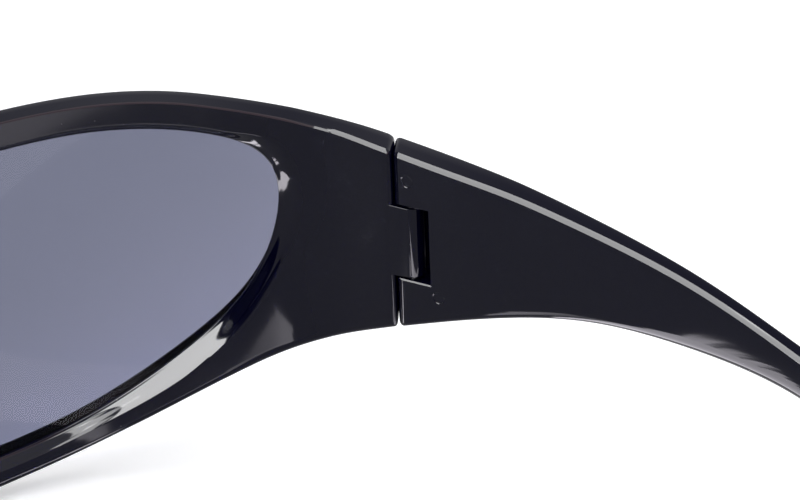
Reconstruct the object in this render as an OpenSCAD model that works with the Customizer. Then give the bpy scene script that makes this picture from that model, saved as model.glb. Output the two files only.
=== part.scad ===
// Wrap-around sport sunglasses, open, standing on the rims and the temple tips.
// Wearer's right is -X, the front faces -Y, the temples run back along +Y.
// Origin: on the ground, in the middle between the temples and front to back.
// A place on the frame is (s, z, d): s runs along the wrapped plan line from the
// middle of the bridge to the temple tip, z is height above the hinge centre, and
// d is depth inward from the outer face.

/* [Wrap] */
// Plan radius of the front, seen from above
front_r = 78; // [70:1:90]
// Extra turn of the endpiece between lens and hinge, degrees
end_bend = 17; // [10:1:24]
// Length over which the endpiece makes that turn
bend_len = 30; // [24:1:36]
// Plan radius of the temples, which curve in behind the head
temple_r = 290; // [220:5:400]
// Upright radius of the lenses and rims
sag_r = 95; // [80:5:160]

/* [Front] */
// Gap between the two lenses, along the wrap
bridge_w = 18.4; // [16:0.2:22]
// Lens width along the wrap
lens_w = 65.4; // [60:0.2:70]
// Lens height
lens_h = 34; // [30:0.5:38]
// Rim above the lens
rim_top = 3.7; // [3:0.1:5]
// Rim below the lens
rim_low = 5.2; // [4.2:0.1:6]
// Endpiece from the lens to the hinge joint
end_len = 13.4; // [12:0.2:16]
// Thickness of the brow
brow_t = 3; // [2.9:0.1:4]
// Extra thickness of the rims below the brow
body_t = 0.8; // [0.4:0.1:1.2]
// Thickness at the hinge, front and temple alike
hinge_t = 3.6; // [3.5:0.1:4.6]
// Rounding of the outer edges
edge_r = 0.4; // [0.3:0.1:0.6]
// Rounding of the inner edges
back_r = 0.6; // [0.4:0.1:0.8]
// How far the nose rests stand back from the rim
nose_d = 4.9; // [3.5:0.1:6]
// How far the nose rests reach from the middle, along the wrap
nose_w = 24; // [20:1:28]
// Height of the nose rests
nose_h = 20.4; // [18:0.2:23]

/* [Lens] */
// Lens thickness
lens_t = 1.5; // [1.3:0.1:1.6]
// Depth of the front lip over the lens
lip_t = 0.6; // [0.5:0.1:0.7]
// Depth of the groove that holds the lens edge
groove = 0.9; // [0.7:0.1:1.1]
// Play of the lens in its groove
lens_play = 0.06; // [0.04:0.01:0.1]

/* [Temple] */
// Temple length from hinge to tip, along the wrap
temple_len = 118; // [105:1:130]
// Temple height at the hinge
temple_h = 19.4; // [17.5:0.1:22]
// Height of the slim middle of the arm
arm_h = 5; // [4.4:0.1:6]
// Thickness of the slim middle of the arm
arm_t = 2.3; // [2.2:0.1:3.2]
// Thickness at the ear end
ear_t = 3.2; // [2.8:0.1:4]
// Flat bevel along the inner upper edge
top_bevel = 0.5; // [0.3:0.05:0.8]

/* [Hinge] */
// Joint gap between front and temple
gap = 0.15; // [0.1:0.05:0.4]
// Slant of the joint, which runs forward to the outside, degrees
mitre = 26; // [20:1:32]
// Pin radius
pin_r = 0.6; // [0.5:0.05:0.7]
// Radial play of the front's tongue on the pin
pin_play = 0.05; // [0.02:0.01:0.08]
// Height of the tongue
tongue_h = 7.6; // [6:0.1:9]
// Radius of the tongue's round end
barrel_r = 1.15; // [1.1:0.05:1.25]
// Free space round the tongue in its slot
slot_play = 0.25; // [0.2:0.05:0.35]
// Slot length past the pin
slot_end = 2.4; // [2:0.1:3]
// Distance of the pin from the joint
pin_in = 1.25; // [1.2:0.05:1.5]

/* [Hidden] */

black = [0.12, 0.12, 0.15];
smoke = [0.45, 0.46, 0.52, 0.75];
steel = [0.62, 0.62, 0.66];

// places along the wrap
s_in = bridge_w / 2;
s_out = s_in + lens_w;
s_hinge = s_out + end_len;
s_tip = s_hinge + temple_len;

// heights, measured from the hinge centre
lens_top = 9.6;
lens_low = lens_top - lens_h;
h_top = temple_h * 0.435;
h_low = h_top - temple_h;
nose_z = lens_top - lens_h * 0.37;

// S-shaped step from 0 to 1 as x goes from a to b
function step01(x, a, b) = let(t = min(1, max(0, (x - a) / (b - a)))) t * t * (3 - 2 * t);

// cubic B-spline through a row of control values at t = 0 .. len - 1
function bs(a, b, c, d, f) =
    (a * pow(1 - f, 3) + b * (3 * pow(f, 3) - 6 * f * f + 4)
    + c * (1 + 3 * f + 3 * f * f - 3 * pow(f, 3)) + d * pow(f, 3)) / 6;
function open_spline(p, t) =
    let(n = len(p), i = min(n - 2, max(0, floor(t))), f = t - i,
        a = i > 0 ? p[i - 1] : 2 * p[0] - p[1],
        d = i < n - 2 ? p[i + 2] : 2 * p[n - 1] - p[n - 2])
    bs(a, p[i], p[i + 1], d, f);
function ring_spline(p, t) =
    let(n = len(p), i = floor(t), f = t - i)
    bs(p[(i + n - 1) % n], p[i % n], p[(i + 1) % n], p[(i + 2) % n], f);

// plan line: heading angle, table of places 1 mm apart, then place and outward normal
function heading(s) =
    min(s, s_hinge) / front_r * 180 / PI
    + end_bend * step01(s, s_hinge - bend_len, s_hinge)
    + max(0, s - s_hinge) / temple_r * 180 / PI;
plan = [for (i = 0, p = [0, 0]; i <= s_tip + 2; p = p + dir(heading(i + 0.5)), i = i + 1) p];
function dir(a) = [cos(a), sin(a)];
function plan_at(s) = let(i = floor(max(0, s))) plan[i] + (s - i) * dir(heading((s + i) / 2));
function out_at(s) = [sin(heading(s)), -cos(heading(s))];

// upright bow of the front, which fades out at the endpiece
function sag(s, z) = pow(z - (lens_top - lens_h / 2), 2) / (2 * sag_r)
    * (1 - step01(s, s_out - 8, s_hinge - 2));

// place in space on the wearer's left half; the right half is mirrored
mid_y = plan_at(s_tip)[1] / 2 - 0.14;
function at(s, z, d) =
    let(p = plan_at(s) - (d + sag(s, z)) * out_at(s)) [p[0], p[1] - mid_y, z - ground];

// the joint's slant, spread over 12 mm of the endpiece and of the arm
function lean(d) = (hinge_t - d) * tan(mitre);
function front_at(p, d) =
    at(p[0] - lean(d) * min(1, max(0, (p[0] - s_hinge + 12) / 12)), p[1], d);
function arm_at(s, z, d) =
    at(s - lean(d) * min(1, max(0, (s_hinge + gap + 12 - s) / 12)), z, d);

// outlines as (s, z): the lens edge as a closed spline of 14 points
lens_pts = [
    for (q = [[-0.03, 0.9], [0.19, 0.92], [0.31, 0.95], [0.53, 0.97], [0.69, 1.01], [0.87, 0.98],
        [1.02, 0.9], [0.98, 0.56], [0.897, 0.323], [0.7, 0.077], [0.514, -0.026], [0.265, -0.064],
        [0.125, 0.243], [0.04, 0.59]])
    [s_in + q[0] * lens_w, lens_low + q[1] * lens_h]];
function lens_at(t) = ring_spline(lens_pts, t);

// brow line from the middle to the hinge
brow_pts = [
    for (q = [[0, -0.5], [0.11, -0.45], [0.24, 0.11], [0.38, 0.45], [0.51, 0.77], [0.64, 0.99],
        [0.76, 0.71], [0.88, 0.06]])
        [q[0] * s_hinge, lens_top + q[1] * rim_top],
    [s_hinge, h_top]];

// lower line from the hinge round the rim and the nose to the middle
low_pts = concat(
    [[s_hinge, h_low], [s_hinge - end_len * 0.48, h_low - 2.25]],
    [for (q = [[0.96, 0.24, 0.6], [0.79, 0.096, 1], [0.62, -0.024, 1], [0.46, -0.08, 1],
        [0.28, -0.15, 1], [0.14, 0, 0.6], [0.06, 0.32, 0], [-0.03, 0.59, 0]])
        [s_in + q[0] * lens_w, lens_low + q[1] * lens_h - (rim_low - 4.2) * q[2]]],
    [[0, lens_low + 0.63 * lens_h]]);

// stations round the rim: t on the lens edge, outer place, and the way in from the edge
// along the brow, down the joint face, back along the lower line, up the middle plane
t_hinge = 5.95;
t_low = 6.6;
t_mid = 13.4;
n_brow = 26;
n_face = 5;
n_low = 34;
n_mid = 4;
n_st = n_brow + n_face + n_low + n_mid;
function brow_at(f) = open_spline(brow_pts, f * (len(brow_pts) - 1));
function low_at(f) = open_spline(low_pts, f * (len(low_pts) - 1));
function unit(v) = v / norm(v);
function turn_in(a, b) = let(u = unit(b - a)) [u[1], -u[0]];
function station(k) =
    k < n_brow ? let(f = k / n_brow)
        [f * t_hinge, brow_at(f), k == 0 ? [0, -1] : turn_in(brow_at(f - 0.01), brow_at(f + 0.01))] :
    k <= n_brow + n_face ? let(f = (k - n_brow) / n_face)
        [t_hinge + f * (t_low - t_hinge), [s_hinge, h_top + f * (h_low - h_top)],
         f == 0 ? [-1, -1] : f == 1 ? [-1, 1] : [-1, 0]] :
    k <= n_st - n_mid ? let(f = (k - n_brow - n_face) / n_low)
        [t_low + f * (t_mid - t_low), low_at(f),
         f == 1 ? [0, 1] : turn_in(low_at(f - 0.01), low_at(f + 0.01))] :
    let(f = (k - n_st + n_mid) / n_mid)
        [t_mid + f * (14 - t_mid), [0, low_at(1)[1] + f * (brow_at(0)[1] - low_at(1)[1])], [0, 0]];

// the rims' lowest point, which the object stands on
ground = min([for (k = [n_brow : n_st - n_mid]) station(k)[1][1]]);

// thickness of the frame: brow, thicker to the hinge and below, deepest at the nose rests
function nose_bump(s, z) = step01(s, nose_w / 12, nose_w / 3) * (1 - step01(s, nose_w * 7 / 12, nose_w))
    * step01(z, nose_z - nose_h * 0.95, nose_z - nose_h * 0.56)
    * (1 - step01(z, nose_z - nose_h * 0.34, nose_z + nose_h * 0.05));
function body(s, z) = step01(lens_top - z, 2, 14) * (0.4 + 0.6 * step01(s, s_out - 24, s_out - 2))
    * (1 - step01(s, s_hinge - 12, s_hinge - 2));
function thick(s, z) = brow_t + body_t * body(s, z) + nose_d * nose_bump(s, z)
    + (hinge_t - brow_t) * step01(s, s_hinge - 8, s_hinge - 1);

// width of the sloped wall behind the lens: least above, widest beside the hinge
function wall_w(t) = 0.5
    + 2.4 * step01(t, 5.2, 6.2) * (1 - 0.58 * step01(t, 6.4, 7.9) - 0.35 * step01(t, 8.3, 9.5));

// one section of the rim as (s, z, d), from the lens edge round the outside and back
lens_in = lip_t + lens_t;
function lens_out(t) = let(a = lens_at((t + 13.95) % 14), b = lens_at((t + 0.05) % 14))
    -turn_in(a, b);
function rim_section(k) =
    let(st = station(k), t = st[0] % 14, l = lens_at(t), n = lens_out(t), o = st[1], v = st[2],
        mid = k > n_st - n_mid,
        d = thick(o[0], o[1]), dn = thick(l[0], l[1]),
        flare = 0.32 * max(0, d - brow_t - 1) * (mid ? 0 : 1),
        w = wall_w(t), a = l + 0.3 * n, b = o + edge_r * v, c = l + (w + 0.3) * n,
        e = o + (back_r + flare) * v, r = edge_r * 0.3, rb = back_r * 0.3)
    [front_at(l, 0.3), front_at(a, 0),
     front_at(mix(a, b, 0.25), 0), front_at(mix(a, b, 0.5), 0), front_at(mix(a, b, 0.75), 0), front_at(b, 0),
     front_at(o + r * v, r), front_at(o, edge_r),
     front_at(o + flare * v, d - back_r), front_at(o + (flare + rb) * v, d - rb), front_at(e, d),
     front_at(mix(c, e, 0.75), dn + (d - dn) * 0.75), front_at(mix(c, e, 0.5), dn + (d - dn) * 0.5),
     front_at(mix(c, e, 0.25), dn + (d - dn) * 0.25), front_at(c, dn),
     front_at(l + w * n, dn - 0.15), front_at(l + 0.15 * n, lens_in + 0.45), front_at(l, lens_in + 0.3),
     front_at(l, lens_in + lens_play), front_at(l + groove * n, lens_in + lens_play),
     front_at(l + groove * n, lip_t - lens_play), front_at(l, lip_t - lens_play)];
function mix(a, b, f) = a + (b - a) * f;
n_sec = 22;

// both halves of the front as one closed skin that shares its points on the middle plane
function vid(side, k, j) =
    let(kk = k % n_st, shared = side == 1 && (kk == 0 || kk >= n_st - n_mid) && j >= 5 && j <= 10)
    (shared ? 0 : side * n_st * n_sec) + kk * n_sec + j;
function on_mid(k, j) = k >= n_st - n_mid && j >= 5 && j < 10;
module front_shell() {
    half = [for (k = [0 : n_st - 1]) for (p = rim_section(k)) p];
    flat_mid = [for (i = [0 : len(half) - 1])
        let(k = floor(i / n_sec), j = i % n_sec, m = (k == 0 || k >= n_st - n_mid) && j >= 5 && j <= 10)
        m ? [0, half[i][1], half[i][2]] : half[i]];
    quads = [for (k = [0 : n_st - 1]) for (j = [0 : n_sec - 1]) if (!on_mid(k, j)) [k, j]];
    polyhedron(
        points = concat(flat_mid, [for (p = flat_mid) [-p[0], p[1], p[2]]]),
        faces = concat(
            [for (q = quads) let(k = q[0], j = q[1], m = (j + 1) % n_sec)
                each [[vid(0, k, j), vid(0, k, m), vid(0, k + 1, m)],
                      [vid(0, k, j), vid(0, k + 1, m), vid(0, k + 1, j)]]],
            [for (q = quads) let(k = q[0], j = q[1], m = (j + 1) % n_sec)
                each [[vid(1, k, j), vid(1, k + 1, m), vid(1, k, m)],
                      [vid(1, k, j), vid(1, k + 1, j), vid(1, k + 1, m)]]]),
        convexity = 8);
}

// hinge: x runs back along the temple from the joint face, y is depth from the outer face
pin_x = gap + pin_in;
pin_d = hinge_t - barrel_r - 0.1;
tongue_z = (h_top + h_low) / 2 + 0.04;
module at_hinge() {
    p = at(s_hinge, 0, 0);
    translate(p) rotate([0, 0, heading(s_hinge)]) children();
}
module tongue() {
    at_hinge() {
        translate([-3, pin_d - barrel_r, tongue_z - tongue_h / 2])
            cube([3 + pin_x, 2 * barrel_r, tongue_h]);
        translate([pin_x, pin_d, tongue_z - tongue_h / 2])
            cylinder(r = barrel_r, h = tongue_h, $fn = 48);
    }
}
module slot() {
    at_hinge()
        translate([-3, pin_d - barrel_r - slot_play, tongue_z - tongue_h / 2 - slot_play])
            cube([3 + pin_x + slot_end, hinge_t + 2, tongue_h + 2 * slot_play]);
}
pin_top = tongue_z + tongue_h / 2 + 2.6;
pin_low = h_low + 0.8;
module pin_rod(r, low, top) {
    at_hinge()
        translate([pin_x, pin_d, low]) cylinder(r = r, h = top - low, $fn = 40);
}

// middle line and height of the arm at 12 even places from hinge to tip
drop = ground + arm_h * 0.35;
arm_mid = [for (q = [0, -0.042, -0.047, 0.012, 0.115, 0.265, 0.385, 0.49, 0.6, 0.73, 0.87, 1])
    (h_top + h_low) / 2 * (1 - q) + drop * q];
arm_high = concat([for (q = [1, 0.73, 0.478, 0.378]) q * temple_h],
    [for (q = [0.91, 0.92, 0.98, 1.1, 1.22, 1.32, 1.25, 0.96]) q * arm_h]);
function temple_top(f) = open_spline(arm_mid, f * 11) + open_spline(arm_high, f * 11) / 2;
function temple_low(f) = open_spline(arm_mid, f * 11) - open_spline(arm_high, f * 11) / 2;
function temple_t(f) = hinge_t + (arm_t - hinge_t) * step01(f, 0, 0.36)
    + (ear_t - arm_t) * step01(f, 0.45, 0.85);
function low_bevel(f) = back_r + 1.1 * step01(f, 0.13, 0.38) - 0.6 * step01(f, 0.45, 0.7);

// one section of the arm: outer face, lower edge, inner face, top edge
function arm_section(f, grow) =
    let(s = s_hinge + gap + f * (temple_len - gap), tip = 1 - sqrt(1 - pow(grow, 2)),
        zt0 = temple_top(f), zb0 = temple_low(f), m = (zt0 + zb0) / 2,
        zt = m + (zt0 - m) * (1 - tip), zb = m + (zb0 - m) * (1 - tip),
        t = temple_t(f), d0 = t * 0.5 * tip, d1 = t - t * 0.5 * tip, c = 1 - tip,
        r = edge_r * c, rt = top_bevel * c, rb = low_bevel(f) * c,
        bulge = 0.25 * step01(f, 0.1, 0.4) * c)
    [arm_at(s, zt - r, d0), arm_at(s, zt * 0.7 + zb * 0.3, d0 - bulge), arm_at(s, m, d0 - bulge * 1.2),
     arm_at(s, zt * 0.3 + zb * 0.7, d0 - bulge), arm_at(s, zb + r, d0),
     arm_at(s, zb + r * 0.3, d0 + r * 0.3), arm_at(s, zb, d0 + r),
     arm_at(s, zb, d1 - rb), arm_at(s, zb + rb * 0.13, d1 - rb * 0.5), arm_at(s, zb + rb * 0.4, d1 - rb * 0.16),
     arm_at(s, zb + rb, d1), arm_at(s, (zb + rb + zt - rt) / 2, d1), arm_at(s, zt - rt, d1),
     arm_at(s, zt - rt * 0.3, d1 - rt * 0.3), arm_at(s, zt, d1 - rt),
     arm_at(s, zt, d0 + r), arm_at(s, zt - r * 0.3, d0 + r * 0.3)];
n_arm = 17;
tip_f = 0.975;
arm_fs = concat(
    [[0, 0]],
    [for (i = [1 : 46]) [tip_f * i / 46, 0]],
    [for (g = [0.4, 0.7, 0.88, 0.97]) [tip_f + (1 - tip_f) * g, g]]);
function arm_flat(i) = arm_section(arm_fs[i][0], arm_fs[i][1]);
module arm_shell() {
    n = len(arm_fs);
    rows = concat([end_ring()],
        [for (i = [0 : n - 1]) i == 0 ? arm_section(back_r / temple_len, 0) : arm_flat(i)]);
    face_mid = arm_at(s_hinge + gap, (h_top + h_low) / 2, hinge_t / 2);
    tip_mid = arm_at(s_tip, (temple_top(1) + temple_low(1)) / 2, ear_t / 2);
    pts = concat([for (row = rows) for (p = row) p], [face_mid, tip_mid]);
    last = n * n_arm;
    polyhedron(
        points = pts,
        faces = concat(
            [for (j = [0 : n_arm - 1]) [last + n_arm, j, (j + 1) % n_arm]],
            [for (i = [0 : n - 1]) for (j = [0 : n_arm - 1]) let(m = (j + 1) % n_arm)
                each [[i * n_arm + j, (i + 1) * n_arm + m, i * n_arm + m],
                      [i * n_arm + j, (i + 1) * n_arm + j, (i + 1) * n_arm + m]]],
            [for (j = [0 : n_arm - 1]) [last + n_arm + 1, last + (j + 1) % n_arm, last + j]]),
        convexity = 6);
}
// joint face of the arm, smaller all round by the edge rounding
function end_ring() =
    let(s = s_hinge + gap, r = back_r, zt = h_top, zb = h_low, t = hinge_t, m = (zt + zb) / 2)
    [arm_at(s, zt - 1.6 * r, r), arm_at(s, zt * 0.7 + zb * 0.3, r), arm_at(s, m, r),
     arm_at(s, zt * 0.3 + zb * 0.7, r), arm_at(s, zb + 1.6 * r, r),
     arm_at(s, zb + 1.2 * r, r * 1.2), arm_at(s, zb + r, 1.6 * r),
     arm_at(s, zb + r, t - 1.6 * r), arm_at(s, zb + 1.05 * r, t - 1.4 * r), arm_at(s, zb + 1.2 * r, t - 1.2 * r),
     arm_at(s, zb + 1.6 * r, t - r), arm_at(s, m, t - r), arm_at(s, zt - 1.6 * r, t - r),
     arm_at(s, zt - 1.2 * r, t - 1.2 * r), arm_at(s, zt - r, t - 1.6 * r),
     arm_at(s, zt - r, 1.6 * r), arm_at(s, zt - 1.2 * r, r * 1.2)];

// lens: two curved skins and a thin edge, seated in the groove
n_lens = 56;
lens_rings = [0.2, 0.4, 0.6, 0.8, 0.93, 1];
lens_c = [s_in + lens_w * 0.52, lens_low + lens_h * 0.56];
module lens_shell() {
    edge = [for (k = [0 : n_lens - 1]) let(t = k * 14 / n_lens)
        lens_at(t) + (groove - lens_play) * lens_out(t)];
    nr = len(lens_rings);
    side = 1 + nr * n_lens;
    function skin(d) = concat([front_at(lens_c, d)],
        [for (f = lens_rings) for (p = edge) front_at(mix(lens_c, p, f), d)]);
    function fan(o, flip) = [for (k = [0 : n_lens - 1]) let(m = (k + 1) % n_lens)
        flip ? [o, o + 1 + m, o + 1 + k] : [o, o + 1 + k, o + 1 + m]];
    function band(o, flip) = [for (i = [0 : nr - 2]) for (k = [0 : n_lens - 1])
        let(m = (k + 1) % n_lens, a = o + 1 + i * n_lens, b = a + n_lens)
        each flip ? [[a + k, a + m, b + m], [a + k, b + m, b + k]]
                  : [[a + k, b + m, a + m], [a + k, b + k, b + m]]];
    last = 1 + (nr - 1) * n_lens;
    polyhedron(
        points = concat(skin(lip_t), skin(lens_in)),
        faces = concat(fan(0, false), band(0, false), fan(side, true), band(side, true),
            [for (k = [0 : n_lens - 1]) let(m = (k + 1) % n_lens)
                each [[last + k, side + last + m, last + m], [last + k, side + last + k, side + last + m]]]),
        convexity = 4);
}

module front_frame() {
    color(black) difference() {
        union() {
            front_shell();
            tongue();
            mirror([1, 0, 0]) tongue();
        }
        pin_rod(pin_r + pin_play, tongue_z - tongue_h, tongue_z + tongue_h);
        mirror([1, 0, 0]) pin_rod(pin_r + pin_play, tongue_z - tongue_h, tongue_z + tongue_h);
    }
}
module lens_left() {
    color(smoke) lens_shell();
}
module lens_right() {
    color(smoke) mirror([1, 0, 0]) lens_shell();
}
module temple_left() {
    color(black) difference() {
        arm_shell();
        slot();
        pin_rod(pin_r, h_low - 2, pin_top);
    }
}
module temple_right() {
    color(black) mirror([1, 0, 0]) difference() {
        arm_shell();
        slot();
        pin_rod(pin_r, h_low - 2, pin_top);
    }
}
module hinge_pin_left() {
    color(steel) pin_rod(pin_r, pin_low, pin_top);
}
module hinge_pin_right() {
    color(steel) mirror([1, 0, 0]) pin_rod(pin_r, pin_low, pin_top);
}

front_frame();
lens_right();
lens_left();
temple_right();
temple_left();
hinge_pin_right();
hinge_pin_left();
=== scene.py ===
import math

import bmesh
import bpy
import numpy as np
from mathutils import Matrix, Vector


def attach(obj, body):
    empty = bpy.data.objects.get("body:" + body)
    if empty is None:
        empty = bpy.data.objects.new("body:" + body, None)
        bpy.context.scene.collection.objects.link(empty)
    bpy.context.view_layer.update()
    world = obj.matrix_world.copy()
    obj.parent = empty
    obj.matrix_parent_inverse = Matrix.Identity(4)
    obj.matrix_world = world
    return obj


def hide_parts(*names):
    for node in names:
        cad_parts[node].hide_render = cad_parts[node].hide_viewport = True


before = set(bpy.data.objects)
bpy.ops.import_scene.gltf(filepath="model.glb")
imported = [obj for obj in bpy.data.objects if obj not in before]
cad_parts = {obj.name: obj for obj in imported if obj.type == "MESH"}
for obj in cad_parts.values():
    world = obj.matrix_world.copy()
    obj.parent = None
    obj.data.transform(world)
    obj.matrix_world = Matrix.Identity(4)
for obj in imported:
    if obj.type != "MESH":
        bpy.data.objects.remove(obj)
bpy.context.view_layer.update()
mm = 0.001

# Front frame. One injection moulding of black nylon: two rims, the bridge, the nose rests and the
# two hinge tongues. Its left half is laid out flat and wrapped round the face, then mirrored: s runs
# along the wrap from the bridge, z is height above the hinge, d is depth inward from the outer face.

# the wrap seen from above, with a sharper bend before the joint, and its curve from top to bottom
front_r = 78 * mm
end_bend = math.radians(17)
bend_run = 30 * mm
temple_r = 290 * mm
sag_r = 95 * mm

# lengths along the wrap and heights
bridge_w = 18.4 * mm
lens_w = 65.4 * mm
lens_h = 34 * mm
end_len = 13.4 * mm
temple_len = 118 * mm
temple_h = 19.4 * mm
rim_top = 3.7 * mm
rim_low = 5.2 * mm
lens_top = 9.6 * mm

# thickness of the brow, extra thickness below it, thickness at the joint, reach of the nose rest
brow_t = 3 * mm
body_t = 0.8 * mm
hinge_t = 3.6 * mm
nose_d = 4.9 * mm
edge_r = 0.4 * mm
back_r = 0.6 * mm

# the lens and its groove
lens_t = 1.5 * mm
lip_t = 0.6 * mm
groove = 0.9 * mm
lens_play = 0.06 * mm

# the mitred joint with the temple, and the thin lip that closes it outside
gap = 0.15 * mm
mitre = math.radians(26)
mitre_run = 12 * mm
joint_lip = 0.12 * mm

s_in = bridge_w / 2
s_out = s_in + lens_w
s_hinge = s_out + end_len
s_tip = s_hinge + temple_len
lens_low = lens_top - lens_h
lens_in = lip_t + lens_t
h_top = temple_h * 0.435
h_low = h_top - temple_h
nose_z = lens_top - lens_h * 0.37


def step(x, a, b):
    """0 before a, 1 past b, and an S-shaped rise between"""
    t = np.clip((x - a) / (b - a), 0, 1)
    return t * t * (3 - 2 * t)


def hump(x, up_from, up_to, down_from, down_to):
    """0, a rise to 1, and a fall back to 0"""
    return step(x, up_from, up_to) * (1 - step(x, down_from, down_to))


def mix(a, b, f):
    """a at f = 0, b at f = 1"""
    return a + (b - a) * f


def spline(points, t, ring=False):
    """Cubic B-spline over a row or a ring of control points, at t = 0 .. number of points"""
    p = np.asarray(points, float)
    n = len(p)
    t = np.asarray(t, float)
    if ring:
        i = np.floor(t).astype(int)
        a, b, c, d = (p[(i + k) % n] for k in (-1, 0, 1, 2))
    else:
        p = np.concatenate([[2 * p[0] - p[1]], p, [2 * p[-1] - p[-2]]])
        i = np.clip(np.floor(t).astype(int), 0, n - 2)
        a, b, c, d = (p[i + k] for k in range(4))
    f = (t - i).reshape(t.shape + (1,) * (p.ndim - 1))
    return (a * (1 - f) ** 3 + b * (3 * f**3 - 6 * f * f + 4)
            + c * (1 + 3 * f + 3 * f * f - 3 * f**3) + d * f**3) / 6


def heading(s):
    """The angle at which the wrap runs at s, seen from above"""
    bend = end_bend * step(s, s_hinge - bend_run, s_hinge)
    return np.minimum(s, s_hinge) / front_r + bend + np.maximum(0, s - s_hinge) / temple_r


def along(angle):
    return np.stack([np.cos(angle), np.sin(angle)], -1)


# the wrap as a row of places, one for each millimetre
wrap_step = 1 * mm
middles = (np.arange(int(s_tip / wrap_step) + 3) + 0.5) * wrap_step
wrap = np.concatenate([[(0, 0)], np.cumsum(wrap_step * along(heading(middles)), 0)])


def wrap_at(s):
    s = np.asarray(s, float)
    i = np.clip(np.floor(s / wrap_step + 1e-9), 0, len(wrap) - 1).astype(int)
    s0 = i * wrap_step
    return wrap[i] + (s - s0)[..., None] * along(heading((s + s0) / 2))


def outward(s):
    a = heading(s)
    return np.stack([np.sin(a), -np.cos(a)], -1)


def sag(s, z):
    """The curve from top to bottom, which fades out before the joint"""
    fades = step(s, s_out - 8 * mm, s_hinge - 2 * mm)
    return (z - (lens_top - lens_h / 2)) ** 2 / (2 * sag_r) * (1 - fades)


def place(s, z, d):
    """A flat place on the wearer's left half, wrapped into the frame's own space"""
    s, z, d = np.broadcast_arrays(s, z, d)
    p = wrap_at(s) - (d + sag(s, z))[..., None] * outward(s)
    return np.concatenate([p - [0, mid_y], (z - ground)[..., None]], -1)


def slant(d):
    """How far the mitre is set back at depth d"""
    return (hinge_t - d) * math.tan(mitre)


def front_place(s, z, d):
    """A place on the front, with the mitre and the lip at its end"""
    s = np.asarray(s, float)
    near_end = np.clip((s - s_hinge + mitre_run) / mitre_run, 0, 1)
    at_end = step(s, s_hinge - 0.6 * mm, s_hinge)
    outer_half = 1 - step(d, 1.4 * mm, 2.1 * mm)
    return place(s - slant(d) * near_end + joint_lip * at_end * outer_half, z, d)


# control points of the lens edge, clockwise from the nose, in shares of its width and height
lens_pts = np.array([
    (-0.03, 0.9), (0.19, 0.92), (0.31, 0.95), (0.53, 0.97), (0.69, 1.01), (0.87, 0.98), (1.02, 0.9),
    (0.98, 0.56), (0.897, 0.323), (0.7, 0.077), (0.514, -0.026), (0.265, -0.064), (0.125, 0.243),
    (0.04, 0.59),
]) * [lens_w, lens_h] + [s_in, lens_low]
lens_turns = len(lens_pts)

# the brow from the bridge to the joint, in shares of the way and of the rim's height
brow_pts = np.array([
    (0, -0.5), (0.11, -0.45), (0.24, 0.11), (0.38, 0.45), (0.51, 0.77), (0.64, 0.99), (0.76, 0.71),
    (0.88, 0.06)]) * [s_hinge, rim_top] + [0, lens_top]
brow_pts = np.concatenate([brow_pts, [(s_hinge, h_top)]])

# the lower edge from the joint to the bridge, in shares of the lens; the third number says how far
# a point moves with the rim's height
drawn_low = 4.2 * mm
low_pts = np.concatenate([
    [(s_hinge, h_low), (s_hinge - 6.4 * mm, h_low - 2.25 * mm)],
    [(s_in + u * lens_w, lens_low + v * lens_h - (rim_low - drawn_low) * w) for u, v, w in (
        (0.96, 0.24, 0.6), (0.79, 0.096, 1), (0.62, -0.024, 1), (0.46, -0.08, 1), (0.28, -0.15, 1),
        (0.14, 0, 0.6), (0.06, 0.32, 0), (-0.03, 0.59, 0))],
    [(0, lens_low + 0.63 * lens_h)]])

# the object stands on the lowest point of the rims, with the middle of its box over the origin
low_row = spline(low_pts, np.linspace(0, 1, 35) * (len(low_pts) - 1))
ground = low_row[:, 1].min()
mid_y = wrap_at(s_tip)[1] / 2 - 0.14 * mm

# stations round the rim: the brow, each corner of the joint, its face, the lower edge, the bridge
brow_n, corner_n, face_n, low_n, bridge_n = 190, 8, 36, 250, 11

# where on the lens edge, counted in control points, the stations at the joint's top, at its foot
# and at the foot of the bridge look
t_hinge, t_low, t_mid = 5.95, 6.6, 13.4


def outline():
    """For each station its place on the lens edge, its place on the outer edge, and the way in"""
    corner_r = 0.75 * mm
    brow_len, low_len = s_hinge * 0.98, 120 * mm
    brow_end = 1 - corner_r / brow_len
    brow_f = np.linspace(0, brow_end, brow_n)
    brow = spline(brow_pts, brow_f * (len(brow_pts) - 1))
    low_f = np.linspace(corner_r / low_len, 1, low_n)
    low = spline(low_pts, low_f * (len(low_pts) - 1))
    top = np.array([s_hinge, h_top])
    foot = np.array([s_hinge, h_low])
    down = np.array([0, -corner_r])
    q = np.linspace(0, 1, corner_n + 2)[1:-1, None]

    def round_off(a, corner, b):
        return a * (1 - q) ** 2 + 2 * corner * q * (1 - q) + b * q * q

    def on_corner(a, b):
        return np.linspace(a, b, corner_n + 2)[1:-1]

    face = (top + down) + np.linspace(0, 1, face_n)[:, None] * (foot - top - 2 * down)
    outer = np.concatenate([
        brow, round_off(brow[-1], top, face[0]), face, round_off(face[-1], foot, low[0]), low])
    face_t = t_hinge + (face[:, 1] - h_top) / (h_low - h_top) * (t_low - t_hinge)
    low_t = t_low + low_f * (t_mid - t_low)
    t = np.concatenate([
        brow_f * t_hinge, on_corner(brow_end * t_hinge, face_t[0]), face_t,
        on_corner(face_t[-1], low_t[0]), low_t])
    run = np.gradient(outer, axis=0)
    run /= np.linalg.norm(run, axis=1)[:, None]
    inward = np.stack([run[:, 1], -run[:, 0]], -1)
    inward[0], inward[-1] = (0, -1), (0, 1)
    middle = np.linspace(0, 1, bridge_n + 2)[1:-1]
    up = outer[-1] + middle[:, None] * (outer[0] - outer[-1])
    t = np.concatenate([t, t_mid + middle * (lens_turns - t_mid)])
    return t, np.concatenate([outer, up]), np.concatenate([inward, 0 * up])


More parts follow.
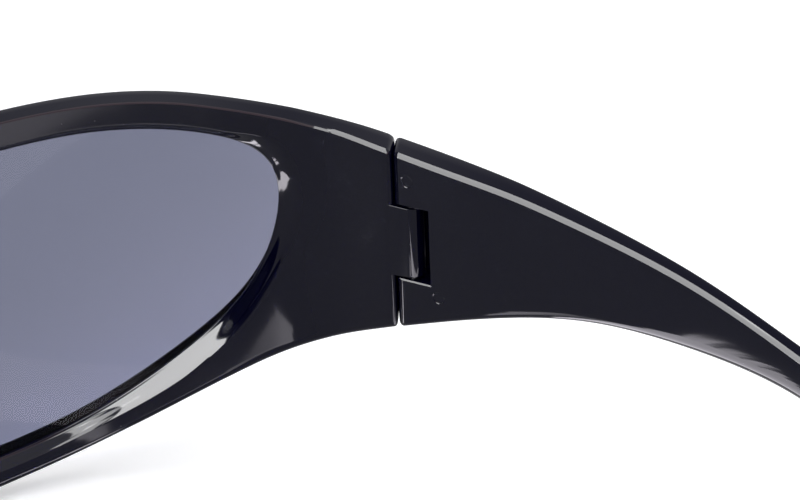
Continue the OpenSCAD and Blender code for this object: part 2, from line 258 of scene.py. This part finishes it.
def lens_edge(t):
    """Places on the lens edge and the ways outward from them, at t = 0 .. lens_turns"""
    near = 0.05
    run = (spline(lens_pts, (t + near) % lens_turns, ring=True)
           - spline(lens_pts, (t + lens_turns - near) % lens_turns, ring=True))
    run /= np.linalg.norm(run, axis=1)[:, None]
    return spline(lens_pts, t % lens_turns, ring=True), np.stack([-run[:, 1], run[:, 0]], -1)


def thickness(s, z):
    """The nose rest stands out, and the wall below and outside the lens is heavier than the brow"""
    nose_rest = (hump(s, 2 * mm, 8 * mm, 14 * mm, 24 * mm)
                 * hump(z, lens_low + 2 * mm, lens_low + 10 * mm, nose_z - 7 * mm, nose_z + 1 * mm))
    joint = step(s, s_hinge - 8 * mm, s_hinge - 1 * mm)
    outer_part = 0.5 + 0.5 * step(s, s_out - 24 * mm, s_out - 8 * mm)
    past_lens = 1 - 0.6 * step(s, s_out - 6.6 * mm, s_out + 2.6 * mm)
    heavy = step(lens_top - z, 2 * mm, 14 * mm) * outer_part * past_lens * (1 - joint)
    return brow_t + (hinge_t - brow_t) * joint + body_t * heavy + nose_d * nose_rest


def arc(n):
    """n + 1 angles of a quarter turn"""
    return np.linspace(0, math.pi / 2, n + 1)


def round_edge(q, flat):
    """The way along and the way down a rounded edge at angle q; flat makes it nearly a chamfer"""
    share, swell = q / (math.pi / 2), 0.02 * math.sin(2 * q)
    return mix(1 - math.cos(q), share - swell, flat), mix(math.sin(q), share + swell, flat)


def evened(values, window=7):
    return np.convolve(np.pad(values, window // 2, "edge"), np.ones(window) / window, "valid")


def rim_rows():
    """Rows of points over the rim's section, with one point in each row for every station"""
    opening_r = 0.3 * mm
    ledge_r = 0.15 * mm
    ledge_d = lens_in + 0.45 * mm
    draft = 0.32
    t, outer, inward = outline()
    edge, out = lens_edge(t)
    d = thickness(outer[:, 0], outer[:, 1])
    lens_d = thickness(edge[:, 0], edge[:, 1])
    here = np.arange(len(t))
    mid = here >= len(t) - bridge_n
    flare = draft * np.maximum(0, d - brow_t - 1 * mm) * ~mid

    # the recess round the lens is narrow at the brow, wide and dished at the outer corner
    slims = 0.58 * step(t, 6.4, 7.9) + 0.35 * step(t, 8.3, 9.5)
    wall = (0.5 + 2.4 * step(t, 5.2, 6.2) * (1 - slims)) * mm
    dished = hump(t, 5.5, 6.1, 7.3, 8.0)

    # the brow's back edge is a small chamfer that grows towards the joint, the rest is rounded
    on_brow = (here < brow_n + corner_n).astype(float)
    chamfer = mix(0.16 * mm, 0.34 * mm, step(outer[:, 0], s_hinge - 16 * mm, s_hinge - 5 * mm))
    bevel = evened(np.where(on_brow, chamfer, back_r))
    flat = evened(on_brow)

    rows, depths = [], []

    def add(flat_place, depth):
        rows.append(flat_place)
        depths.append(np.broadcast_to(depth, t.shape))

    # outer face, from the lens opening to the outer edge
    for q in arc(3):
        add(edge + opening_r * (1 - math.cos(q)) * out, opening_r * (1 - math.sin(q)))
    for f in np.linspace(0, 1, 15)[1:-1]:
        add(mix(edge + opening_r * out, outer + edge_r * inward, f), 0)

    # outer edge
    first_outer = len(rows)
    back = d - bevel
    for q in arc(5):
        add(outer + edge_r * (1 - math.sin(q)) * inward, edge_r * (1 - math.cos(q)))
    for f in (0.35, 0.7):
        add(outer + (flare * f)[:, None] * inward, mix(edge_r, back, f))
    for q in arc(5):
        across, down = round_edge(q, flat)
        add(outer + (flare + bevel * across)[:, None] * inward, back + bevel * down)
    last_outer = len(rows) - 1

    # inner face, a plain sheet over most of the lens; then recess wall, ledge and groove
    sheet_to, shaped_from = 56 * mm, 68 * mm

    def level(at, plain):
        return mix(plain, thickness(at[:, 0], at[:, 1]), step(at[:, 0], sheet_to, shaped_from))

    brink = edge + (wall + opening_r)[:, None] * out
    back_edge = outer + (flare + bevel)[:, None] * inward
    for f in np.linspace(1, 0, 15)[1:]:
        at = mix(brink, back_edge, f)
        add(at, level(at, mix(lens_d, d, f)))
    brink_d = level(brink, lens_d)
    for u in np.linspace(0, 1, 11)[1:]:
        straight = mix(u, u * u * (3 - 2 * u), 0.25)
        hollow = 1 - (1 - u * u) ** 1.3
        sunk = mix(straight, hollow, dished)
        add(edge + mix(wall + opening_r, ledge_r, u)[:, None] * out, mix(brink_d, ledge_d, sunk))
    for q in arc(3)[1:]:
        add(edge + ledge_r * (1 - math.sin(q)) * out, ledge_d - ledge_r * (1 - math.cos(q)))
    add(edge, lens_in + lens_play)
    add(edge + groove * out, lens_in + lens_play)
    add(edge + groove * out, lip_t - lens_play)
    add(edge, lip_t - lens_play)
    rows, depths = np.array(rows), np.array(depths)
    points = front_place(rows[..., 0], rows[..., 1], depths)
    return points.transpose(1, 0, 2), mid, first_outer, last_outer


def pick(*objects):
    """Selects these and nothing else"""
    bpy.ops.object.select_all(action="DESELECT")
    for o in objects:
        o.select_set(True)
        bpy.context.view_layer.objects.active = o


def shade_smooth(o):
    """Smooth shading, with a crease where faces meet at more than 31 degrees"""
    pick(o)
    bpy.ops.object.shade_smooth_by_angle(angle=math.radians(31))


def piece(name, points, faces, finish):
    """A new object from points and faces, with its doubles merged"""
    mesh = bpy.data.meshes.new(name)
    mesh.from_pydata([tuple(p) for p in points], [], faces)
    made = bpy.data.objects.new(name, mesh)
    bpy.context.scene.collection.objects.link(made)
    mesh.materials.append(finish)
    pick(made)
    bpy.ops.object.mode_set(mode="EDIT")
    bpy.ops.mesh.select_all(action="SELECT")
    bpy.ops.mesh.remove_doubles(threshold=0.001 * mm)
    bpy.ops.mesh.delete_loose(use_verts=True, use_edges=True, use_faces=False)
    bpy.ops.object.mode_set(mode="OBJECT")
    shade_smooth(made)
    return made


def outward_normals(o):
    pick(o)
    bpy.ops.object.mode_set(mode="EDIT")
    bpy.ops.mesh.select_all(action="SELECT")
    bpy.ops.mesh.normals_make_consistent(inside=False)
    bpy.ops.object.mode_set(mode="OBJECT")


def apply(o, kind, **settings):
    """Adds a modifier with these settings and applies it"""
    pick(o)
    modifier = o.modifiers.new(kind.lower(), kind)
    for name, value in settings.items():
        setattr(modifier, name, value)
    bpy.ops.object.modifier_apply(modifier=modifier.name)


def cut(o, tool, how="DIFFERENCE"):
    """Cuts the tool out of a piece, or joins it on, and uses the tool up"""
    apply(o, "BOOLEAN", object=tool, operation=how, solver="EXACT")
    bpy.data.objects.remove(tool)


def front_half():
    """The left half, open on the middle plane, where the outer rows of the bridge have no faces"""
    points, mid, first, last = rim_rows()
    stations, ring = points.shape[:2]
    on_plane = mid.copy()
    on_plane[0] = on_plane[stations - bridge_n - 1] = True
    points[np.ix_(on_plane, range(first, last + 1), [0])] = 0
    faces = []
    for k in range(stations):
        k2 = (k + 1) % stations
        for j in range(ring):
            if (mid[k] or mid[k2]) and first <= j < last:
                continue
            j2 = (j + 1) % ring
            faces.append((k * ring + j, k * ring + j2, k2 * ring + j2, k2 * ring + j))
    return piece("front", points.reshape(-1, 3), faces, plastic)


# The hinge: a tongue of the front turns on a pin in a slot of the temple. It is made in its own
# axes, where x runs back along the temple from the joint and y is depth from the outer face.
pin_r = 0.6 * mm
pin_play = 0.05 * mm
barrel_r = 1.15 * mm
tongue_h = 7.6 * mm
slot_play = 0.25 * mm
slot_end = 2.4 * mm
pin_x = gap + 1.25 * mm
pin_d = hinge_t - barrel_r - 0.1 * mm
tongue_z = (h_top + h_low) / 2 + 0.04 * mm
tongue_low, tongue_top = tongue_z - tongue_h / 2, tongue_z + tongue_h / 2
hinge_turn = float(heading(s_hinge))
hinge_place = Matrix.Translation(Vector(place(s_hinge, 0, 0))) @ Matrix.Rotation(hinge_turn, 4, "Z")


def settle(name):
    """Names the primitive just added and moves its place into its mesh"""
    made = bpy.context.object
    made.name = name
    bpy.ops.object.transform_apply(location=True, rotation=True, scale=True)
    return made


def hinge_block(name, low, high):
    """A block between two corners, in the hinge's own axes"""
    low, high = Vector(low), Vector(high)
    pick()
    bpy.ops.mesh.primitive_cube_add(size=1, location=(low + high) / 2, scale=high - low)
    return settle(name)


def hinge_rod(name, radius, low, high):
    """A rod on the pin's line, in the hinge's own axes"""
    pick()
    bpy.ops.mesh.primitive_cylinder_add(
        vertices=48, radius=radius, depth=high - low, location=(pin_x, pin_d, (low + high) / 2))
    return settle(name)


def to_hinge(o):
    o.data.transform(hinge_place)
    return o


def bevel_edges(o, test, width, segments):
    """Rounds the edges whose two ends pass the test, in the axes the mesh is in now"""
    pick(o)
    bpy.ops.object.mode_set(mode="EDIT")
    bpy.ops.mesh.select_mode(type="EDGE")
    bpy.ops.mesh.select_all(action="DESELECT")
    form = bmesh.from_edit_mesh(o.data)
    for e in form.edges:
        if test(e.verts[0].co, e.verts[1].co):
            e.select = True
    form.select_flush_mode()
    bmesh.update_edit_mesh(o.data)
    bpy.ops.mesh.bevel(offset=width, segments=segments, affect="EDGES", clamp_overlap=True)
    bpy.ops.object.mode_set(mode="OBJECT")


def tongue():
    """A block with a round end, flush with the inner face, on a root that sits in the front"""
    end, outer_d = pin_x + barrel_r, pin_d - barrel_r
    end_r, foot_r, chamfer = barrel_r * 0.97, 0.5 * mm, 0.14 * mm
    overlap, flush = 0.9 * mm, 0.003 * mm
    root_deep, root_clear, root_sunk = 3 * mm, 0.2 * mm, 0.4 * mm
    long_edge, near_face, same = 1 * mm, 0.01 * mm, 0.001 * mm
    made = hinge_block("tongue", (-overlap, outer_d, tongue_low), (end, hinge_t - flush, tongue_top))

    def round_end(a, b):
        return a.x > 0 and b.x > 0 and abs(a.z - b.z) > long_edge

    def lower_end(a, b):
        return max(a.z, b.z) < tongue_low + same and min(a.x, b.x) > end - barrel_r

    def inner_sides(a, b):
        level = abs(a.z - b.z) < same and abs(a.x - b.x) > long_edge
        return level and min(a.y, b.y) > hinge_t - near_face

    bevel_edges(made, round_end, end_r, 8)
    bevel_edges(made, lower_end, foot_r, 4)
    bevel_edges(made, inner_sides, chamfer, 1)
    root_from = (-root_deep, outer_d, tongue_low)
    root_to = (-root_clear, hinge_t - root_sunk, tongue_top)
    cut(made, hinge_block("root", root_from, root_to), "UNION")
    return to_hinge(made)


# The nylon is polished in the mould and carries a little dust and a faint ripple. In its shader a
# socket that is wrapped as Value takes part in ordinary arithmetic, and each step adds a Math node.
class Value:
    def __init__(self, tree, socket):
        self.tree, self.socket = tree, socket

    def math(self, operation, *others):
        sockets = [getattr(x, "socket", x) for x in (self, *others)]
        made = self.tree.add("ShaderNodeMath", {"operation": operation}, dict(enumerate(sockets)))
        return Value(self.tree, made.outputs[0])

    def __add__(self, other):
        return self.math("ADD", other)

    def __mul__(self, other):
        return self.math("MULTIPLY", other)

    def __sub__(self, other):
        return self.math("SUBTRACT", other)

    def __rsub__(self, other):
        return self.math("MULTIPLY", -1).math("ADD", other)

    def __lt__(self, other):
        return self.math("LESS_THAN", other)

    def __gt__(self, other):
        return self.math("GREATER_THAN", other)

    __radd__, __rmul__ = __add__, __mul__

    def between(self, low, high):
        return (self > low) * (self < high)


class Tree:
    """The node tree of a material or the world, and the shader that the other nodes feed"""

    def __init__(self, owner, shader, settings):
        owner.use_nodes = True
        self.owner = owner
        self.nodes = owner.node_tree.nodes
        self.links = owner.node_tree.links
        self.shader = self.nodes[shader]
        self.feed(self.shader, settings)

    def feed(self, node, values):
        for name, value in values.items():
            value = getattr(value, "socket", value)
            if isinstance(value, bpy.types.NodeSocket):
                self.links.new(value, node.inputs[name])
            else:
                node.inputs[name].default_value = value

    def add(self, kind, settings=None, values=None):
        node = self.nodes.new(kind)
        for name, value in (settings or {}).items():
            setattr(node, name, value)
        self.feed(node, values or {})
        return node

    def position(self):
        """The place on the piece, which moves with it"""
        return self.add("ShaderNodeTexCoord").outputs["Object"]

    def parts(self, vector):
        """The X, Y and Z of a vector, each under its letter"""
        split = self.add("ShaderNodeSeparateXYZ", values={0: vector}).outputs
        return {axis: Value(self, split[axis]) for axis in "XYZ"}

    def noise(self, scale, detail, stretch=(1, 1, 1)):
        at = self.add("ShaderNodeMapping", values={"Vector": self.position(), "Scale": stretch})
        made = self.add("ShaderNodeTexNoise", values={
            "Vector": at.outputs[0], "Scale": scale, "Detail": detail})
        return Value(self, made.outputs["Fac"])

    def specks(self, spacing, size):
        """1 in the middle of small scattered grains, 0 between them"""
        made = self.add("ShaderNodeTexVoronoi", {"feature": "F1"}, {
            "Vector": self.position(), "Scale": 1 / spacing, "Randomness": 1.0})
        return Value(self, made.outputs["Distance"]) < size / spacing

    def ramp(self, value, low, high):
        """0 below low, 1 above high, smooth between"""
        made = self.add("ShaderNodeMapRange", {"interpolation_type": "SMOOTHSTEP"}, {
            "Value": value, "From Min": low, "From Max": high})
        return Value(self, made.outputs["Result"])

    def mix(self, factor, a, b, blend="MIX"):
        settings = {"data_type": "RGBA", "blend_type": blend}
        return self.add("ShaderNodeMix", settings, {0: factor, 6: a, 7: b}).outputs[2]

    def bump(self, height, distance, under=None):
        values = {"Height": height, "Distance": distance, "Strength": 1.0}
        if under is not None:
            values["Normal"] = under
        return self.add("ShaderNodeBump", values=values).outputs[0]


def material(name, **settings):
    return Tree(bpy.data.materials.new(name), "Principled BSDF", settings)


def black_plastic():
    nylon, dust_grey = (0.001, 0.001, 0.0085, 1), (0.11, 0.105, 0.11, 1)
    grain, grains_apart, grain_high = 0.05 * mm, 1.1 * mm, 0.01 * mm
    ripple_high = 0.0006 * mm
    polished, smeared, dusty = 0.03, 0.04, 0.4
    finish = material("black_plastic", **{"IOR": 1.5, "Specular IOR Level": 0.115})
    dust = finish.specks(grains_apart, grain) * (finish.noise(60, 3) > 0.56)
    ripple = finish.bump(finish.noise(260, 1), ripple_high)
    finish.feed(finish.shader, {
        "Base Color": finish.mix(dust, nylon, dust_grey),
        "Roughness": polished + smeared * finish.noise(130, 4) + dusty * dust,
        "Normal": finish.bump(dust, grain_high, ripple)})
    return finish.owner


plastic = black_plastic()
front = front_half()
cut(front, tongue(), "UNION")
bore = hinge_rod("bore", pin_r + pin_play, tongue_z - tongue_h, tongue_z + tongue_h)
cut(front, to_hinge(bore))
apply(front, "MIRROR", use_axis=(True, False, False), use_mirror_merge=True, merge_threshold=0.01 * mm)
outward_normals(front)
shade_smooth(front)
front.name = "front_frame_moulding"
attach(front, "front")
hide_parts("front_frame")

# Lenses. Each is a thin shell of smoke grey polycarbonate, dyed through and hard coated, that wraps
# as the front does. It is snapped into the groove of its rim.


def smoke_lens():
    pale, deep = (0.180, 0.186, 0.252, 1), (0.144, 0.152, 0.208, 1)
    finish = material("smoke_polycarbonate", **{
        "Transmission Weight": 1.0, "Roughness": 0.0, "IOR": 1.12})
    at = finish.parts(finish.position())

    # the grey deepens towards the bridge and upwards
    towards_bridge = (-45 * mm - at["Y"]) * (0.5 / (20 * mm))
    upwards = (at["Z"] - 8 * mm) * (0.5 / (26 * mm))
    shade = finish.ramp(towards_bridge + upwards, 0.2, 1.0)
    finish.feed(finish.shader, {"Base Color": finish.mix(shade, pale, deep)})
    return finish.owner


smoke = smoke_lens()


def lens(name):
    """Rings of points from the middle to the edge, on the outer and on the inner face"""
    around, rings = 280, 34
    edge, out = lens_edge(np.arange(around) * lens_turns / around)
    edge = edge + (groove - lens_play) * out
    centre = np.array([s_in + lens_w * 0.52, lens_low + lens_h * 0.56])
    shares = np.linspace(0, 1, rings + 1)[1:]
    flat = centre + shares[:, None, None] * (edge - centre)
    outer = front_place(flat[..., 0], flat[..., 1], lip_t).reshape(-1, 3)
    inner = front_place(flat[..., 0], flat[..., 1], lens_in).reshape(-1, 3)
    points = np.concatenate([
        front_place([centre[0]], centre[1], lip_t), outer,
        front_place([centre[0]], centre[1], lens_in), inner])
    faces = []
    back = 1 + len(outer)
    for k in range(around):
        k2 = (k + 1) % around
        faces += [(0, 1 + k, 1 + k2), (back, back + 1 + k2, back + 1 + k)]
        for i in range(rings - 1):
            a, b = 1 + i * around, 1 + (i + 1) * around
            faces.append((a + k, b + k, b + k2, a + k2))
            faces.append((back + a + k, back + a + k2, back + b + k2, back + b + k))
        a = 1 + (rings - 1) * around
        faces.append((a + k, back + a + k, back + a + k2, a + k2))
    return piece(name, points, faces, smoke)


def mirrored(o, name):
    """A copy with its own mesh on the other side of the middle plane"""
    pick(o)
    bpy.ops.object.duplicate(linked=False)
    made = bpy.context.object
    made.name = made.data.name = name
    made.data.transform(Matrix.Scale(-1, 4, (1, 0, 0)))
    made.data.flip_normals()
    return made


left_lens = lens("lens_left_dyed")
outward_normals(left_lens)
right_lens = mirrored(left_lens, "lens_right_dyed")
for side, made in (("left", left_lens), ("right", right_lens)):
    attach(made, "front")
    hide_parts(f"lens_{side}")

# Temples. Each is one moulding of the same nylon: a deep hinge end that slims to a flat bar and
# hooks down behind the ear. The slot in its inner face takes the front's tongue, a pin hole runs up
# through both lugs, and two ejector pins of the mould have left round prints.

arm_h = 5 * mm
arm_t = 2.3 * mm
ear_t = 3.2 * mm
tip_f = 0.975
tip_z = ground + arm_h * 0.35

# from the hinge to the tip: the way down of the arm's middle line, and the arm's height
way_down = np.array([0, -0.042, -0.047, 0.012, 0.115, 0.265, 0.385, 0.49, 0.6, 0.73, 0.87, 1])
arm_mid = (h_top + h_low) / 2 * (1 - way_down) + tip_z * way_down
arm_high = np.concatenate([
    np.array([1, 0.73, 0.478, 0.378]) * temple_h,
    np.array([0.91, 0.92, 0.98, 1.1, 1.22, 1.32, 1.25, 0.96]) * arm_h])


def arm_place(s, z, d):
    """A place on the arm, with the mitre at its start"""
    near_end = np.clip((s_hinge + gap + mitre_run - s) / mitre_run, 0, 1)
    return place(s - slant(d) * near_end, z, d)


def arm_row(f, inset, tip):
    """The arm's section at share f of its length; inset draws it in all round, tip closes the end"""
    s = s_hinge + gap + f * (temple_len - gap)
    centre = spline(arm_mid, f * (len(arm_mid) - 1))
    high = spline(arm_high, f * (len(arm_high) - 1))
    t = hinge_t + (arm_t - hinge_t) * step(f, 0, 0.36) + (ear_t - arm_t) * step(f, 0.45, 0.85)
    full = 1 - tip
    top, low = centre + high / 2 * full - inset, centre - high / 2 * full + inset
    outer_d, inner_d = t * 0.5 * tip + inset, t - t * 0.5 * tip - inset

    # the outer edges, the inner edge along the top, and the softer inner edge below
    shrink = full * (1 - 0.5 * inset / back_r)
    outer_r = edge_r * shrink
    upper_r = 0.4 * mm * shrink
    lower_r = (back_r + 1.1 * mm * step(f, 0.13, 0.38) - 0.6 * mm * step(f, 0.45, 0.7)) * shrink
    chamfer = 1 - min(1, inset / back_r * 2)

    # the outer face bulges, the inner face falls away towards the top and a little at the bottom
    bulge = 0.3 * mm * step(f, 0.1, 0.4) * full
    crown = 0.42 * mm * step(f, 0.03, 0.13) * full
    lean = 0.35 * mm * hump(f, 0.2, 0.42, 0.55, 0.8) * full

    rows = []
    for u in np.linspace(0, 1, 11):
        rows.append((mix(top - outer_r, low + outer_r, u), outer_d - bulge * 4 * u * (1 - u)))
    for q in arc(5)[1:]:
        rows.append((low + outer_r * (1 - math.sin(q)), outer_d + outer_r * (1 - math.cos(q))))
    rows.append((low, mix(outer_d + outer_r, inner_d - lower_r, 0.5)))
    for q in arc(8):
        rows.append((low + lower_r * (1 - math.cos(q)), inner_d - lean - lower_r * (1 - math.sin(q))))
    for u in np.linspace(0, 1, 16)[1:-1]:
        rows.append((mix(low + lower_r, top - upper_r, u), inner_d - crown * u - lean * (1 - u) ** 2))
    for q in arc(4):
        across, down = round_edge(q, chamfer)
        rows.append((top - upper_r * (1 - down), inner_d - crown - upper_r * across))
    rows.append((top, mix(inner_d - crown - upper_r, outer_d + outer_r, 0.5)))
    for q in arc(5)[:-1]:
        rows.append((top - outer_r * (1 - math.cos(q)), outer_d + outer_r * (1 - math.sin(q))))
    z, d = np.array(rows).T
    return arm_place(np.full(len(z), s), z, d)


def arm_shell():
    """Sections from the rounded edge of the hinge end to the closed tip"""
    first = back_r / temple_len
    rows = []
    for q in arc(5)[:-1]:
        rows.append(arm_row(first * (1 - math.cos(q)), back_r * (1 - math.sin(q)), 0))
    for f in np.linspace(first, tip_f, 260):
        rows.append(arm_row(f, 0, 0))
    for q in arc(10)[1:-1]:
        rows.append(arm_row(tip_f + (1 - tip_f) * math.sin(q), 0, 1 - math.cos(q)))
    ring = len(rows[0])
    points = np.concatenate(rows + [rows[0].mean(0)[None], rows[-1].mean(0)[None]])
    faces = []
    for i in range(len(rows) - 1):
        for j in range(ring):
            a, b = i * ring + j, i * ring + (j + 1) % ring
            faces.append((a, b, b + ring, a + ring))
    last = (len(rows) - 1) * ring
    for j in range(ring):
        j2 = (j + 1) % ring
        faces.append((len(points) - 2, j2, j))
        faces.append((len(points) - 1, last + j, last + j2))
    return piece("temple_left_moulding", points, faces, plastic)


def slot_cutter():
    """The room in which the tongue turns, with a chamfer where it breaks through the inner face"""
    ahead, widens, chamfer = 3 * mm, 0.6 * mm, 0.12 * mm
    low, top = tongue_low - slot_play, tongue_top + slot_play
    end = pin_x + slot_end
    outer_d, inner_d = pin_d - barrel_r - slot_play, hinge_t - chamfer
    made = hinge_block("slot", (-ahead, outer_d, low), (end, inner_d, top))
    pick(made)
    bpy.ops.object.mode_set(mode="EDIT")
    bpy.ops.mesh.select_mode(type="FACE")
    bpy.ops.mesh.select_all(action="DESELECT")
    form = bmesh.from_edit_mesh(made.data)
    for face in form.faces:
        face.select = face.normal.y > 0.9
    bmesh.update_edit_mesh(made.data)
    bpy.ops.mesh.extrude_region_move(TRANSFORM_OT_translate={"value": (0, widens, 0)})
    bpy.ops.transform.resize(value=(
        1 + 2 * widens / (end + ahead), 1, 1 + 2 * widens / (top - low)))
    bpy.ops.object.mode_set(mode="OBJECT")
    return to_hinge(made)


def ejector_mark(x, z):
    """The round print of an ejector pin, cut by the lower half of a short cone"""
    bottom_r, top_r, high = 0.59 * mm, 0.73 * mm, 0.14 * mm
    pick()
    bpy.ops.mesh.primitive_cone_add(
        vertices=56, radius1=bottom_r, radius2=top_r, depth=high,
        location=(x, hinge_t, z), rotation=(-math.pi / 2, 0, 0))
    return to_hinge(settle("ejector_mark"))


left_arm = arm_shell()
outward_normals(left_arm)
cut(left_arm, slot_cutter())
cut(left_arm, ejector_mark(1.6 * mm, 5.58 * mm))
cut(left_arm, ejector_mark(4.73 * mm, -6.42 * mm))
hole_low, hole_top = h_low - 2 * mm, tongue_top + 2.6 * mm
cut(left_arm, to_hinge(hinge_rod("pin_hole", pin_r, hole_low, hole_top)))
shade_smooth(left_arm)
right_arm = mirrored(left_arm, "temple_right_moulding")
for side, made in (("left", left_arm), ("right", right_arm)):
    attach(made, f"temple_{side[0]}")
    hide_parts(f"temple_{side}")

# Hinge pins. Plain turned steel rods, pressed up through the lower lug and the tongue into the upper
# lug. They keep the shape of the CAD solids and get their steel here.


def pin_steel():
    grey, smooth, scored = (0.45, 0.45, 0.47, 1), 0.22, 0.15
    finish = material("pin_steel", **{"Metallic": 1.0, "Base Color": grey})
    turning_lines = finish.noise(900, 2, stretch=(1, 1, 30))
    finish.feed(finish.shader, {"Roughness": smooth + scored * turning_lines})
    return finish.owner


steel = pin_steel()
for side in ("left", "right"):
    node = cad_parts[f"hinge_pin_{side}"]
    node.data.materials.clear()
    node.data.materials.append(steel)

# Floor, light and camera. The glasses stand on white paper under a large soft light from above.
# Three windows, a dim warm wall and some light patches on the paper are seen only as reflections in
# the glossy plastic: they stand in for the room that it mirrors in the photograph.


def floor():
    pick()
    bpy.ops.mesh.primitive_plane_add(size=12)
    made = settle("floor")
    paper = material("white_paper", **{
        "Base Color": (0.8, 0.8, 0.8, 1), "Roughness": 0.9, "Specular IOR Level": 0.0,
        "Emission Strength": 1.0})
    rays = paper.add("ShaderNodeLightPath").outputs
    camera_ray, mirror_ray, through_lens = (
        Value(paper, rays[f"Is {kind} Ray"]) for kind in ("Camera", "Glossy", "Transmission"))
    seen = camera_ray.math("MAXIMUM", mirror_ray).math("MAXIMUM", through_lens)
    black, whitened = (0, 0, 0, 1), (0.4, 0.4, 0.4, 1)
    glow = paper.mix(seen, black, whitened)

    # painted reflections: glowing patches on the paper, seen only by glossy rays, put the grey band low
    # on the temple, the grey patch low on the front and the bright crescent at the lens corner; they have
    # ragged edges and fade towards the back
    at = paper.parts(paper.position())
    ragged = (paper.noise(420, 3) - 0.5) * (2.5 * mm)
    x, y = at["X"] + ragged, at["Y"] + ragged
    by_temple = ((x + 1.73 * y < -58.3 * mm) * x.between(-62 * mm, -15 * mm) * (y > -25.5 * mm)
                 * (20 - 6 * paper.ramp(y, -24 * mm, -10 * mm)))
    by_front = ((1.1 * x + y < -59.2 * mm) * (x > -33 * mm) * (x - 0.6 * y < -4.6 * mm)
                * paper.ramp(y, -37.2 * mm, -36.9 * mm) * (9 - 5 * paper.ramp(y, -35.5 * mm, -29.5 * mm)))
    upper = x.between(-44 * mm, -27 * mm) * (y + 0.35 * x).between(-71 * mm, -66.3 * mm)
    lower = x.between(-24.5 * mm, -14 * mm) * y.between(-68 * mm, -59.8 * mm)
    above_corner = (upper + lower) * 30
    bright = (by_temple + by_front + above_corner) * mirror_ray * (1 - through_lens)
    fifty_times = (50, 48, 52, 1)
    painted_reflection_patches = paper.mix(bright * (1 / 50), black, fifty_times)
    paper.feed(paper.shader, {"Emission Color": paper.mix(1.0, glow, painted_reflection_patches, blend="ADD")})
    made.data.materials.append(paper.owner)


floor()


def direction(azimuth, elevation):
    """In degrees; the azimuth turns from +X towards +Y"""
    a, e = math.radians(azimuth), math.radians(elevation)
    return Vector((math.cos(a) * math.cos(e), math.sin(a) * math.cos(e), math.sin(e)))


def lamp(name, way, distance, toward, size, radiance, mirrored_only=True, colour=(1, 1, 1)):
    """A soft box that looks at a place from a distance"""
    data = bpy.data.lights.new(name, "AREA")
    data.shape = "RECTANGLE"
    data.size, data.size_y = size
    data.energy = radiance * math.pi * size[0] * size[1]
    data.color = colour
    made = bpy.data.objects.new(name, data)
    bpy.context.scene.collection.objects.link(made)
    made.location = Vector(toward) + way * distance
    made.rotation_euler = way.to_track_quat("Z", "Y").to_euler()
    made.visible_camera = False
    made.visible_diffuse = not mirrored_only


hinge_spot = (-62 * mm, -30 * mm, 28 * mm)
rose = (1, 0.72, 0.7)
lamp("overhead_box", direction(60, 84), 1.3, (0, 0, 0), (1.3, 1.3), 2.3, mirrored_only=False)
lamp("high_window", direction(-21, 57), 3, hinge_spot, (1.68, 1.1), 34)
lamp("low_window", direction(-8, 31), 1.0, hinge_spot, (0.9, 0.65), 56)
lamp("brow_window", direction(18.5, 55.5), 3, hinge_spot, (0.62, 0.58), 30)
lamp("warm_wall", direction(50, 50), 3, hinge_spot, (1.3, 1.0), 4.5, colour=rose)

room_low, room_high = (0.9, 0.9, 0.92, 1), (0.5, 0.5, 0.52, 1)
room = Tree(bpy.data.worlds.new("room"), "Background", {"Strength": 1.0})
height = room.parts(room.add("ShaderNodeTexCoord").outputs["Generated"])["Z"]
room.feed(room.shader, {"Color": room.mix(room.ramp(height, 0.2, 0.55), room_low, room_high)})
bpy.context.scene.world = room.owner
bpy.context.scene.view_settings.view_transform = "Standard"

# The photograph's view: from behind the left temple, above, into the right hinge
view_from = (196.9 * mm, 179.2 * mm, 206 * mm)
roll = math.radians(2.2)
back = direction(39.36, 28)
level_right = (-back).cross(Vector((0, 0, 1))).normalized()
level_up = level_right.cross(-back)
right = math.cos(roll) * level_right - math.sin(roll) * level_up
up = math.sin(roll) * level_right + math.cos(roll) * level_up
camera_data = bpy.data.cameras.new("camera")
camera_data.lens = 176.1
camera_data.sensor_width = 36
camera_data.clip_start, camera_data.clip_end = 0.01, 50
camera = bpy.data.objects.new("camera", camera_data)
bpy.context.scene.collection.objects.link(camera)
camera.matrix_world = Matrix.Translation(view_from) @ Matrix((right, up, back)).transposed().to_4x4()
bpy.context.scene.camera = camera
